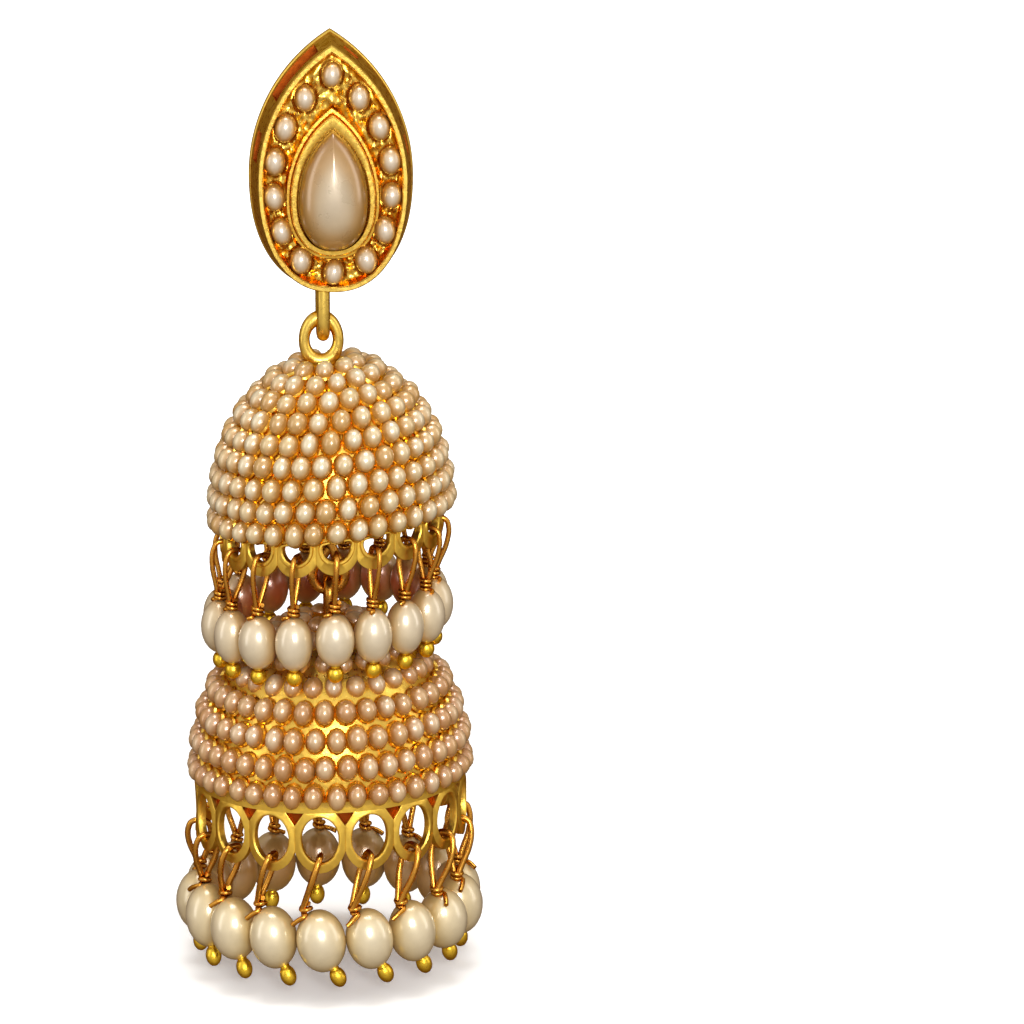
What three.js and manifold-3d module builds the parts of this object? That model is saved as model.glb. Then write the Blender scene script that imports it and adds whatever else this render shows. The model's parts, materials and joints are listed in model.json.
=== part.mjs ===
// Drop earring: a pear-shaped ear top with a pearl cabochon, and under it two bells, one above the
// other, covered with rows of seed pearls and hung all round with pearl drops.
// Millimetres, +Z up. The front faces -Y, and the origin is where the ear post leaves the back plate.

import * as THREE from "three";
import { mergeVertices } from "three/addons/utils/BufferGeometryUtils.js";
import Module from "manifold-3d";

const wasm = await Module();
wasm.setup();

// Outlines of the ear top: half width, and reach above and below the level of greatest width.
const EAR_WIDEST_Z = -2.0;
const EAR_DEPTH = 4.6;
const BACK_OUTLINE = { halfWidth: 7.05, up: 12.6, down: 10.0 };
const FRONT_OUTLINE = { halfWidth: 6.4, up: 11.8, down: 9.5 };
const RIM_WIDTH = 0.45;
const BED_RECESS = 0.9;
const BED_THICKNESS = 0.8;
const BACK_THICKNESS = 0.8;
const WALL_THICKNESS = 0.7;
const APEX_STRETCH = 1.4;

// Pear curve: how slender the point is, how full the rounded end is, and points on a quarter of it.
const PEAR_SLENDERNESS = 1.787;
const PEAR_FULLNESS = 2.25;
const PEAR_QUARTER = 5;

// Slots cut through the side wall: side, place from the apex (0) to the foot (1), length and height.
const WALL_SLOTS = [
  { side: -1, place: 0.16, length: 5.2, height: 1.9 },
  { side: -1, place: 0.4, length: 2.6, height: 1.6 },
  { side: 1, place: 0.12, length: 1.6, height: 0.9 },
  { side: 1, place: 0.4, length: 1.8, height: 0.8 },
];
const SLOT_REACH = 2.4;

// Centre pearl and its bezel.
const CABOCHON_WIDEST_Z = -3.6;
const CABOCHON_OUTLINE = { halfWidth: 2.95, up: 6.2, down: 4.2 };
const CABOCHON_RISE = 2.1;
const CABOCHON_STEPS = [{ size: 0.88, rise: 0.48 }, { size: 0.58, rise: 0.83 }];
const CABOCHON_GAP = 0.1;
const BEZEL_OUTLINE = { halfWidth: 3.65, up: 7.5, down: 4.75 };
const BEZEL_RISE = 0.25;
const SOLDER = 0.2;

// Pearls set round the bezel, on a pear-shaped path.
const TOP_PEARLS = 14;
const TOP_PEARL_PATH = { halfWidth: 5.1, up: 9.2, down: 7.85 };
const TOP_PEARL = { halfWidth: 0.93, halfHeight: 1.2, rise: 1.35 };
const TOP_PEARL_GAP = 0.1;
const TOP_PEARL_DOME = [[0, 0], [1, 0], [0.8, 0.65], [0, 1]];

// Ear post.
const POST_RADIUS = 0.45;
const POST_LENGTH = 11;

// Staple under the ear top: a wire loop in the YZ plane. The ring of the upper bell hangs on its bend.
const DROP_X = -1.05;
const DROP_Y = -2.3;
const STAPLE_WIRE = 0.57;
const STAPLE_BEND = 1.65;
const STAPLE_TOP_Z = -10.9;
const PIVOT_Z = -15.6;

// Ring on the crown of the upper bell: outer and inner half sizes, with the hole set low.
const RING_OUTER = { halfWidth: 1.95, halfHeight: 2.65 };
const RING_HOLE = { halfWidth: 0.98, halfHeight: 1.22 };
const RING_THICKNESS = 1.2;
const RING_BEVEL = 0.28;
const RING_PLAY = 0.2;
const RING_SINK = 0.35;
const RING_CURVE = 6;

// Seed pearls on the bells stand this far out from the line of their centres, and the gold lies behind.
const SEED_PROUD = 0.78;
const GOLD_BEHIND = 0.4;
const DOME_INNER = 1.05;
const INSIDE_STEPS = [0.75, 0.3];

// Both bells carry the same number of scallops and drops, two sides of the dome to each.
const SCALLOPS = 17;
const DOME_SIDES = 2 * SCALLOPS;
const RIM_WALL = 0.62;

// Bells: centre of the lowest row, line of the pearl centres (radius at the base, and height), number of
// rows, radius of the top row, the flat crown's radius and level above the lowest row, and rim radius.
// Each bell hangs a little askew: it tips by some degrees about its centre, its left side lower, and it is
// turned about its axis.
const UPPER = {
  x: -0.3, baseZ: -30.7, tip: 5.5, turn: 0, radius: 10.0, height: 13.2, rows: 8, topRow: 3.9,
  crownRadius: 2.9, crown: 12.4, rim: 9.6,
};
const LOWER = {
  x: -0.6, baseZ: -53.7, tip: 1.3, turn: -7.1, radius: 11.7, height: 13.5, rows: 6, topRow: 6.3,
  crownRadius: 3.4, crown: 12.7, rim: 11.9,
};
const CROWN_THICKNESS = 0.7;
const RIM_TOP = -0.6;

// Upper rim, levels below the lowest row: windows with a flat top and a round foot, over scallops.
const UPPER_WINDOW = { halfWidth: 1.18, top: -0.95, foot: -2.55, headShare: 0.9, footShare: 0.5 };
const UPPER_SCALLOP = { cusp: -3.1, foot: -3.9, flank: 1 };

// Lower rim: oval openings, small three-cornered ones between their heads, and deep scallops.
const LOWER_OPENING = { halfWidth: 1.62, top: -1.7, foot: -5.8 };
const LOWER_GORE = { halfWidth: 1.0, top: -1.25, foot: -2.75 };
const LOWER_SCALLOP = { cusp: -5.2, foot: -6.7, flank: 2 };
const OPENING_SIDES = 8;
const CUT_REACH = 1.6;
const FOOT_TRIM = 0.04;
const CUT_BELOW = 1;
const BETWEEN = 0.5;

// Link between the bells, hidden inside: a hook on a stem under the upper crown, in the XZ plane, and an
// eye on the lower crown, in the YZ plane.
const LINK_WIRE = 0.45;
const LINK_Z = -38.4;
const HOOK_BEND = 1.4;
const HOOK_ARC = { start: 0.12, sweep: 0.76, steps: 8 };
const HOOK_STEM = 2.6;
const HOOK_END = 1.7;
const EYE_BEND = 1.5;
const LINK_PLAY = 0.3;
const BEND_STEPS = 6;

// Drops: loop of wire from the top of its bend to the neck, and how much that differs at the two sides,
// pearl half sizes, ball half sizes, lean of the pearl to one side at the front and at the back.
const UPPER_DROP = {
  wire: 0.23, loop: 4.25, slack: 0.55, steps: 7, bulge: 0.95, neck: 0.55, collar: 0.95,
  pearl: { halfWidth: 1.56, halfHeight: 2.15 }, ball: { halfWidth: 0.65, halfHeight: 0.7 },
  leanFront: 0, leanBack: 0,
};
const LOWER_DROP = {
  wire: 0.26, loop: 4.1, slack: 0.25, steps: 7, bulge: 1.0, neck: 0.55, collar: 0.75,
  pearl: { halfWidth: 2.0, halfHeight: 2.85 }, ball: { halfWidth: 0.7, halfHeight: 0.95 },
  leanFront: 24, leanBack: 2,
};
const LOOP_OVER_LIP = 0.52;
const BALL_OVERLAP = 0.3;

// Shares of a drop pearl's half sizes: foot of the collar, the shoulders, and where the ball begins.
const COLLAR_FOOT = 0.93;
const SHOULDER = { out: 0.95, level: 0.4 };
const BALL_START = 0.97;

// Half of a drop's loop from the middle of its bend, as (out, along) pairs, and then as shares: where it
// is widest, how wide it is at the neck, and how deep its ends sink into the collar.
const LOOP_BEND = [[0, 0], [0.62, 0.12], [0.9, 0.55]];
const LOOP_WIDEST_AT = 0.45;
const LOOP_NECK = 0.29;
const LOOP_SINK = 0.6;
const BEAD_SIDES = 10;
const WIRE_SIDES = 5;
const LINK_SIDES = 6;

const GOLD = { color: 0xcf9a2e, roughness: 0.32, metalness: 1.0 };
const BELL_PEARL_GOLD = { color: 0xd8b685, roughness: 0.38, metalness: 0.25 };
const PEARL = { color: 0xf0e6d8, roughness: 0.25, metalness: 0.0 };

const FULL_TURN = 2 * Math.PI;
const WELD = 1e-4;
const FINE_STEPS = 400;
const PITCH = FULL_TURN / SCALLOPS;

// Solids: joined and cut by boolean operations on closed meshes.
function solidOf(geometry) {
  const bare = geometry.clone();
  bare.deleteAttribute("normal");
  bare.deleteAttribute("uv");
  const merged = mergeVertices(bare, WELD);
  const vertices = new Float32Array(merged.attributes.position.array);
  const corners = merged.index.array;
  const kept = [];
  let volume = 0;
  const a = new THREE.Vector3();
  const b = new THREE.Vector3();
  const c = new THREE.Vector3();
  for (let i = 0; i < corners.length; i += 3) {
    const [p, q, r] = [corners[i], corners[i + 1], corners[i + 2]];
    if (p === q || q === r || r === p) {
      continue;
    }
    kept.push(p, q, r);
    a.fromArray(vertices, 3 * p);
    b.fromArray(vertices, 3 * q);
    c.fromArray(vertices, 3 * r);
    volume += a.dot(b.cross(c));
  }
  if (volume < 0) {
    kept.reverse();
  }
  const mesh = new wasm.Mesh({
    numProp: 3,
    vertProperties: vertices,
    triVerts: new Uint32Array(kept),
  });
  return new wasm.Manifold(mesh);
}

function joined(solids) {
  return solids.reduce((whole, piece) => whole.add(piece));
}

function geometryOf(solid) {
  const mesh = solid.getMesh();
  const geometry = new THREE.BufferGeometry();
  geometry.setAttribute("position", new THREE.BufferAttribute(new Float32Array(mesh.vertProperties), 3));
  geometry.setIndex(new THREE.BufferAttribute(new Uint32Array(mesh.triVerts), 1));
  geometry.computeVertexNormals();
  return geometry;
}

function meshOf(name, solid, look) {
  const mesh = new THREE.Mesh(geometryOf(solid), new THREE.MeshStandardMaterial(look));
  mesh.name = name;
  return mesh;
}

function numbered(stem, index) {
  return `${stem}_${String(index + 1).padStart(2, "0")}`;
}

// Wire along a smooth curve, with closed ends.
function wire(points, radius, sides, steps) {
  const section = new THREE.Shape();
  for (let i = 0; i < sides; i += 1) {
    const angle = (FULL_TURN * i) / sides;
    const [x, y] = [radius * Math.cos(angle), radius * Math.sin(angle)];
    if (i === 0) {
      section.moveTo(x, y);
    } else {
      section.lineTo(x, y);
    }
  }
  const extrudePath = new THREE.CatmullRomCurve3(points);
  return new THREE.ExtrudeGeometry(section, { steps, extrudePath, bevelEnabled: false });
}

// Body turned about the Z axis from a profile of (radius, level) pairs.
function turned(profile, sides) {
  const points = profile.map(([radius, level]) => new THREE.Vector2(radius, level));
  return new THREE.LatheGeometry(points, sides).rotateX(Math.PI / 2);
}

// Pear outline in unit form, from the apex down one side and up the other: x across, z up.
function pearUnit() {
  const sweep = (PEAR_SLENDERNESS ** 2 + 1) / 2;
  const topAngle = Math.asin(PEAR_SLENDERNESS / sweep);
  const side = [];
  for (let i = 0; i < PEAR_QUARTER; i += 1) {
    const angle = topAngle * (1 - i / PEAR_QUARTER);
    side.push([1 - sweep + sweep * Math.cos(angle), (sweep * Math.sin(angle)) / PEAR_SLENDERNESS]);
  }
  for (let i = 0; i <= PEAR_QUARTER; i += 1) {
    const angle = (Math.PI / 2) * (i / PEAR_QUARTER);
    const power = 2 / PEAR_FULLNESS;
    side.push([Math.abs(Math.cos(angle)) ** power, -(Math.sin(angle) ** power)]);
  }
  side[0][0] = 0;
  side[side.length - 1][0] = 0;
  const back = side.slice(1, -1).reverse().map(([x, z]) => [-x, z]);
  return side.concat(back);
}

const PEAR = pearUnit();

function pearPoint(outline, [x, z]) {
  return [outline.halfWidth * x, (z > 0 ? outline.up : outline.down) * z];
}

function insetPear(outline, amount) {
  return {
    halfWidth: outline.halfWidth - amount,
    up: outline.up - amount * APEX_STRETCH,
    down: outline.down - amount,
  };
}

function scaledPear(outline, share) {
  return { halfWidth: outline.halfWidth * share, up: outline.up * share, down: outline.down * share };
}

// Closed body through pear-shaped rings, each at its own depth. A ring with no outline is a point.
function pearBody(rings, widestZ) {
  const stand = rings.map((ring, i) => new THREE.Vector2(1, i));
  const geometry = new THREE.LatheGeometry(stand, PEAR.length);
  const position = geometry.attributes.position;
  for (let i = 0; i <= PEAR.length; i += 1) {
    rings.forEach((ring, j) => {
      const unit = PEAR[i % PEAR.length];
      const [x, z] = ring.outline ? pearPoint(ring.outline, unit) : [0, 0];
      position.setXYZ(i * rings.length + j, x, ring.y, z + widestZ);
    });
  }
  return solidOf(geometry);
}

// Places at equal steps along a pear-shaped path, starting from its apex.
function pearSteps(outline, count) {
  const points = PEAR.concat([PEAR[0]]).map((unit) => {
    const [x, z] = pearPoint(outline, unit);
    return new THREE.Vector3(x, 0, z);
  });
  const path = new THREE.CurvePath();
  for (let i = 0; i + 1 < points.length; i += 1) {
    path.add(new THREE.LineCurve3(points[i], points[i + 1]));
  }
  return Array.from({ length: count }, (unused, i) => path.getPointAt(i / count));
}

const FRONT_Y = -EAR_DEPTH;
const BED_Y = BED_RECESS - EAR_DEPTH;

function earBox() {
  const rim = insetPear(FRONT_OUTLINE, RIM_WIDTH);
  const outside = pearBody([
    { y: 0 },
    { outline: BACK_OUTLINE, y: 0 },
    { outline: FRONT_OUTLINE, y: FRONT_Y },
    { outline: rim, y: FRONT_Y },
    { outline: rim, y: BED_Y },
    { y: BED_Y },
  ], EAR_WIDEST_Z);
  const hollow = pearBody([
    { y: -BACK_THICKNESS },
    { outline: insetPear(BACK_OUTLINE, WALL_THICKNESS), y: -BACK_THICKNESS },
    { outline: insetPear(FRONT_OUTLINE, WALL_THICKNESS), y: BED_Y + BED_THICKNESS },
    { y: BED_Y + BED_THICKNESS },
  ], EAR_WIDEST_Z);
  return outside.subtract(hollow).subtract(joined(wallSlots()));
}

function wallSlots() {
  const half = PEAR.slice(0, 2 * PEAR_QUARTER + 1);
  const middle = insetPear(BACK_OUTLINE, WALL_THICKNESS / 2);
  const cuts = [];
  for (const slot of WALL_SLOTS) {
    const at = slot.place * (half.length - 1);
    const before = pearPoint(middle, half[Math.floor(at)]);
    const after = pearPoint(middle, half[Math.floor(at) + 1]);
    const share = at - Math.floor(at);
    const x = before[0] + share * (after[0] - before[0]);
    const z = before[1] + share * (after[1] - before[1]);
    const slope = Math.atan2(after[1] - before[1], after[0] - before[0]);
    const cut = new THREE.BoxGeometry(slot.length, slot.height, SLOT_REACH);
    cut.rotateY(-slope * slot.side);
    cut.translate(x * slot.side, (BED_Y - BACK_THICKNESS + BED_THICKNESS) / 2, z + EAR_WIDEST_Z);
    cuts.push(solidOf(cut));
  }
  return cuts;
}

function bezel() {
  const inner = insetPear(CABOCHON_OUTLINE, -CABOCHON_GAP);
  const rings = [
    { outline: BEZEL_OUTLINE, y: BED_Y + SOLDER },
    { outline: BEZEL_OUTLINE, y: FRONT_Y - BEZEL_RISE },
    { outline: inner, y: FRONT_Y - BEZEL_RISE },
    { outline: inner, y: BED_Y + SOLDER },
  ];
  return pearBody(rings.concat([rings[0]]), CABOCHON_WIDEST_Z);
}

function earPost() {
  const post = new THREE.CylinderGeometry(POST_RADIUS, POST_RADIUS, POST_LENGTH + SOLDER, BEAD_SIDES);
  return solidOf(post.translate(0, (POST_LENGTH - SOLDER) / 2, 0));
}

function staple() {
  const bendZ = PIVOT_Z + STAPLE_BEND;
  const points = [new THREE.Vector3(DROP_X, DROP_Y + STAPLE_BEND, STAPLE_TOP_Z)];
  for (let i = 0; i <= BEND_STEPS; i += 1) {
    const angle = (Math.PI * i) / BEND_STEPS;
    const y = DROP_Y + STAPLE_BEND * Math.cos(angle);
    points.push(new THREE.Vector3(DROP_X, y, bendZ - STAPLE_BEND * Math.sin(angle)));
  }
  points.push(new THREE.Vector3(DROP_X, DROP_Y - STAPLE_BEND, STAPLE_TOP_Z));
  return solidOf(wire(points, STAPLE_WIRE, LINK_SIDES, 2 * BEND_STEPS));
}

function centrePearl() {
  const foot = BED_Y - CABOCHON_GAP;
  const shoulder = FRONT_Y - BEZEL_RISE;
  const outline = CABOCHON_OUTLINE;
  const steps = CABOCHON_STEPS.map(({ size, rise }) => (
    { outline: scaledPear(outline, size), y: shoulder - rise * CABOCHON_RISE }
  ));
  return pearBody([
    { y: foot },
    { outline, y: foot },
    { outline, y: shoulder },
    ...steps,
    { y: shoulder - CABOCHON_RISE },
  ], CABOCHON_WIDEST_Z);
}

function topPearl() {
  const points = TOP_PEARL_DOME.map(([radius, level]) => new THREE.Vector2(radius, level));
  const half = new THREE.LatheGeometry(points, BEAD_SIDES);
  half.scale(TOP_PEARL.halfWidth, TOP_PEARL.rise, TOP_PEARL.halfHeight);
  return solidOf(half.rotateX(Math.PI));
}

// Angles up the line of pearl centres at which the rows of a bell lie, at equal steps along the line.
function rowAngles(bell) {
  const last = Math.acos(bell.topRow / bell.radius);
  const lengths = [0];
  for (let i = 1; i <= FINE_STEPS; i += 1) {
    const angle = (last * (i - 0.5)) / FINE_STEPS;
    const step = Math.hypot(bell.radius * Math.sin(angle), bell.height * Math.cos(angle));
    lengths.push(lengths[i - 1] + (step * last) / FINE_STEPS);
  }
  return Array.from({ length: bell.rows }, (unused, row) => {
    const wanted = (lengths[FINE_STEPS] * row) / (bell.rows - 1);
    const index = lengths.findIndex((length) => length >= wanted - WELD);
    return (last * index) / FINE_STEPS;
  });
}

// Slant that tips the rows and the rim of a bell, while its axis stays upright.
function tipOf(bell) {
  const rise = Math.tan(THREE.MathUtils.degToRad(bell.tip));
  return new THREE.Matrix4().makeShear(0, rise, 0, 0, 0, 0);
}

// Dome with its rim, turned about its axis and tipped as it hangs.
function hungDome(dome, bell) {
  const facing = geometryOf(dome.rotate([0, 0, bell.turn]));
  return solidOf(facing.applyMatrix4(tipOf(bell)));
}

function domePoint(bell, angle, out) {
  return [(bell.radius + out) * Math.cos(angle), (bell.height + out) * Math.sin(angle)];
}

// Bell before its rim is pierced: gold inside, and a ridge for each row of seed pearls outside.
function plainBell(bell, foot) {
  const angles = rowAngles(bell);
  const innerRim = bell.rim - RIM_WALL;
  const outside = [[bell.rim, foot], [bell.rim, RIM_TOP]];
  angles.forEach((angle, row) => {
    outside.push(domePoint(bell, angle, SEED_PROUD));
    if (row + 1 < angles.length) {
      outside.push(domePoint(bell, (angle + angles[row + 1]) / 2, -GOLD_BEHIND));
    }
  });
  outside.push([bell.crownRadius, bell.crown], [0, bell.crown]);
  const ceiling = bell.crown - CROWN_THICKNESS;
  const top = Math.asin(ceiling / (bell.height - DOME_INNER));
  const inside = [[0, ceiling]];
  INSIDE_STEPS.forEach((share) => {
    inside.push(domePoint(bell, top * share, -DOME_INNER));
  });
  inside.push([innerRim, foot]);
  return solidOf(turned(inside.concat(outside), DOME_SIDES));
}

// Cutter through the rim: an outline of (across, level) pairs, pushed through the wall at an angle.
function rimCut(bell, outline, angle) {
  const shape = new THREE.Shape(outline.map(([x, z]) => new THREE.Vector2(x, z)));
  const cut = new THREE.ExtrudeGeometry(shape, { depth: 2 * CUT_REACH, bevelEnabled: false });
  cut.translate(0, 0, bell.rim - RIM_WALL / 2 - CUT_REACH);
  cut.rotateX(Math.PI / 2);
  cut.rotateZ(angle);
  return solidOf(cut);
}

function aroundRim(bell, outline, offset) {
  return Array.from({ length: SCALLOPS }, (unused, i) => rimCut(bell, outline, PITCH * (i + offset)));
}

// Space between two scallops: two flanks that meet in a cusp.
function scallopGap(bell, scallop) {
  const half = (bell.rim * PITCH) / 2;
  const left = [];
  for (let i = 0; i < scallop.flank; i += 1) {
    const angle = (Math.PI / 2) * (i / scallop.flank);
    const level = scallop.foot + (scallop.cusp - scallop.foot) * (1 - Math.cos(angle));
    left.push([-half * (1 - Math.sin(angle)), level]);
  }
  const right = left.slice().reverse().map(([x, z]) => [-x, z]);
  const below = scallop.foot - CUT_BELOW;
  return [[-half, below], ...left, [0, scallop.cusp], ...right, [half, below]];
}

function upperDome() {
  const { halfWidth, top, foot, headShare, footShare } = UPPER_WINDOW;
  const waist = (top + foot) / 2;
  const right = [[headShare * halfWidth, top], [halfWidth, waist], [footShare * halfWidth, foot]];
  const left = right.slice().reverse().map(([x, z]) => [-x, z]);
  const outline = right.concat(left);
  return plainBell(UPPER, UPPER_SCALLOP.foot + FOOT_TRIM)
    .subtract(joined(aroundRim(UPPER, outline, 0)))
    .subtract(joined(aroundRim(UPPER, scallopGap(UPPER, UPPER_SCALLOP), BETWEEN)));
}

function lowerDome() {
  const { halfWidth, top, foot } = LOWER_OPENING;
  const oval = Array.from({ length: OPENING_SIDES }, (unused, i) => {
    const angle = (FULL_TURN * (i + 0.5)) / OPENING_SIDES;
    return [halfWidth * Math.cos(angle), (top + foot) / 2 + ((top - foot) / 2) * Math.sin(angle)];
  });
  const gore = [
    [-LOWER_GORE.halfWidth, LOWER_GORE.top],
    [0, LOWER_GORE.foot],
    [LOWER_GORE.halfWidth, LOWER_GORE.top],
  ];
  return plainBell(LOWER, LOWER_SCALLOP.foot + FOOT_TRIM)
    .subtract(joined(aroundRim(LOWER, oval, 0)))
    .subtract(joined(aroundRim(LOWER, gore, BETWEEN)))
    .subtract(joined(aroundRim(LOWER, scallopGap(LOWER, LOWER_SCALLOP), BETWEEN)));
}

// Ring on the upper crown, standing in the XZ plane. Its hole hangs on the bend of the staple.
function crownRing() {
  const holeTop = PIVOT_Z + STAPLE_WIRE + RING_PLAY;
  const foot = UPPER.baseZ + UPPER.crown - RING_SINK;
  const middle = foot + RING_OUTER.halfHeight;
  const shape = new THREE.Shape();
  shape.absellipse(0, middle, RING_OUTER.halfWidth, RING_OUTER.halfHeight, 0, FULL_TURN);
  const hole = new THREE.Path();
  const { halfWidth, halfHeight } = RING_HOLE;
  hole.absellipse(0, holeTop - halfHeight, halfWidth, halfHeight, 0, FULL_TURN);
  shape.holes.push(hole);
  const ring = new THREE.ExtrudeGeometry(shape, {
    depth: RING_THICKNESS - 2 * RING_BEVEL,
    bevelThickness: RING_BEVEL,
    bevelSize: RING_BEVEL,
    bevelOffset: -RING_BEVEL,
    bevelSegments: 1,
    curveSegments: RING_CURVE,
  });
  ring.translate(DROP_X - UPPER.x, -UPPER.baseZ, RING_BEVEL - RING_THICKNESS / 2);
  return solidOf(ring.rotateX(Math.PI / 2));
}

function linkHook() {
  const bendZ = LINK_Z + HOOK_BEND - UPPER.baseZ;
  const crown = UPPER.crown - SOLDER;
  const points = [new THREE.Vector3(0, 0, crown), new THREE.Vector3(0, 0, bendZ + HOOK_STEM * HOOK_BEND)];
  for (let i = 0; i <= HOOK_ARC.steps; i += 1) {
    const angle = FULL_TURN * (HOOK_ARC.start + (HOOK_ARC.sweep * i) / HOOK_ARC.steps);
    const x = HOOK_BEND * Math.sin(angle);
    points.push(new THREE.Vector3(x, 0, bendZ + HOOK_BEND * Math.cos(angle)));
  }
  points.push(new THREE.Vector3(0, 0, bendZ + HOOK_END * HOOK_BEND));
  const hook = wire(points, LINK_WIRE, LINK_SIDES, 2 * BEND_STEPS);
  return solidOf(hook.translate(LOWER.x - UPPER.x, 0, 0));
}

function linkEye() {
  const top = LINK_Z + 2 * LINK_WIRE + LINK_PLAY - LOWER.baseZ;
  const foot = LOWER.crown - SOLDER;
  const points = [new THREE.Vector3(0, EYE_BEND, foot)];
  for (let i = 0; i <= BEND_STEPS; i += 1) {
    const angle = (Math.PI * i) / BEND_STEPS;
    points.push(new THREE.Vector3(0, EYE_BEND * Math.cos(angle), top - EYE_BEND * (1 - Math.sin(angle))));
  }
  points.push(new THREE.Vector3(0, -EYE_BEND, foot));
  return solidOf(wire(points, LINK_WIRE, LINK_SIDES, 2 * BEND_STEPS));
}

// Drop: the bend of its loop is at the origin, and the pearl hangs plumb under it, leaning to one side.
function drop(sizes, lean) {
  const reach = sizes.pearl.halfHeight + sizes.collar;
  const centre = new THREE.Vector3(0, 0, -sizes.loop - reach);
  const neck = new THREE.Vector3(-reach * Math.sin(lean), 0, centre.z + reach * Math.cos(lean));
  const body = turned(dropProfile(sizes), BEAD_SIDES);
  body.rotateY(-lean);
  body.translate(centre.x, centre.y, centre.z);
  return solidOf(body).add(dropLoop(sizes, neck, centre));
}

function dropProfile({ pearl, ball, neck, collar }) {
  const ballMiddle = -pearl.halfHeight - ball.halfHeight + BALL_OVERLAP;
  const waist = Math.sqrt(1 - BALL_START ** 2);
  const shoulder = SHOULDER.out * pearl.halfWidth;
  return [
    [0, pearl.halfHeight + collar],
    [neck, pearl.halfHeight + collar],
    [neck, COLLAR_FOOT * pearl.halfHeight],
    [shoulder, SHOULDER.level * pearl.halfHeight],
    [shoulder, -SHOULDER.level * pearl.halfHeight],
    [waist * pearl.halfWidth, -BALL_START * pearl.halfHeight],
    [ball.halfWidth, ballMiddle],
    [0, ballMiddle - ball.halfHeight],
  ];
}

// Loop of wire in a plane across the rim, with both ends buried in the collar over the pearl.
function dropLoop({ wire: radius, steps, bulge, collar }, neck, centre) {
  const down = neck.clone().normalize();
  const length = neck.length();
  const half = [...LOOP_BEND, [bulge, LOOP_WIDEST_AT * length], [LOOP_NECK * bulge, length]];
  const across = (side) => ([out, along]) => (
    new THREE.Vector3(0, side * out, 0).addScaledVector(down, along)
  );
  const buried = neck.clone().lerp(centre, (LOOP_SINK * collar) / neck.distanceTo(centre));
  const end = (side) => new THREE.Vector3(0, side * LOOP_NECK * bulge, 0).add(buried);
  const first = half.slice(1).reverse().map(across(-1));
  const points = [end(-1), ...first, ...half.map(across(1)), end(1)];
  return solidOf(wire(points, radius, WIRE_SIDES, steps));
}

// Ring of drops on one rim. They hang plumb from the tipped rim, on shorter loops where it is low. The
// lean fades from the front of the bell to its back.
function dropRing(stem, sizes, bell, lipLevel) {
  const ring = new THREE.Group();
  const hang = bell.rim - RIM_WALL / 2;
  for (let i = 0; i < SCALLOPS; i += 1) {
    const angle = PITCH * i + THREE.MathUtils.degToRad(bell.turn);
    const share = (1 + Math.cos(angle)) / 2;
    const lean = sizes.leanBack + share * (sizes.leanFront - sizes.leanBack);
    const loop = sizes.loop + sizes.slack * Math.sin(angle);
    const solid = drop({ ...sizes, loop }, THREE.MathUtils.degToRad(lean));
    const mesh = meshOf(numbered(stem, i), solid, PEARL);
    mesh.position.set(hang * Math.sin(angle), -hang * Math.cos(angle), lipLevel + LOOP_OVER_LIP);
    mesh.position.applyMatrix4(tipOf(bell));
    mesh.rotation.z = angle;
    ring.add(mesh);
  }
  return ring;
}

function earTop() {
  const group = new THREE.Group();
  const gold = joined([earBox(), bezel(), staple(), earPost()]);
  group.add(meshOf("ear_top", gold, GOLD));
  group.add(meshOf("centre_pearl", centrePearl(), PEARL));
  const pearl = topPearl();
  pearSteps(TOP_PEARL_PATH, TOP_PEARLS).forEach((place, i) => {
    const mesh = meshOf(numbered("top_pearl", i), pearl, PEARL);
    mesh.position.set(place.x, BED_Y - TOP_PEARL_GAP, place.z + EAR_WIDEST_Z);
    group.add(mesh);
  });
  return group;
}

function upperTier() {
  const tier = new THREE.Group();
  const bell = joined([hungDome(upperDome(), UPPER), crownRing(), linkHook()]);
  tier.add(meshOf("upper_bell", bell, BELL_PEARL_GOLD));
  tier.add(dropRing("upper_drop", UPPER_DROP, UPPER, UPPER_WINDOW.foot));
  tier.position.set(UPPER.x, DROP_Y, UPPER.baseZ);
  return tier;
}

function lowerTier() {
  const tier = new THREE.Group();
  const bell = joined([hungDome(lowerDome(), LOWER), linkEye()]);
  tier.add(meshOf("lower_bell", bell, BELL_PEARL_GOLD));
  tier.add(dropRing("lower_drop", LOWER_DROP, LOWER, LOWER_OPENING.foot));
  tier.position.set(LOWER.x, DROP_Y, LOWER.baseZ);
  return tier;
}

const earring = new THREE.Group();
earring.name = "drop_earring";
earring.add(earTop(), upperTier(), lowerTier());

export default earring;
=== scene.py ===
import json
import math

import bpy
import numpy as np
from mathutils import Matrix, Vector, noise


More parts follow.
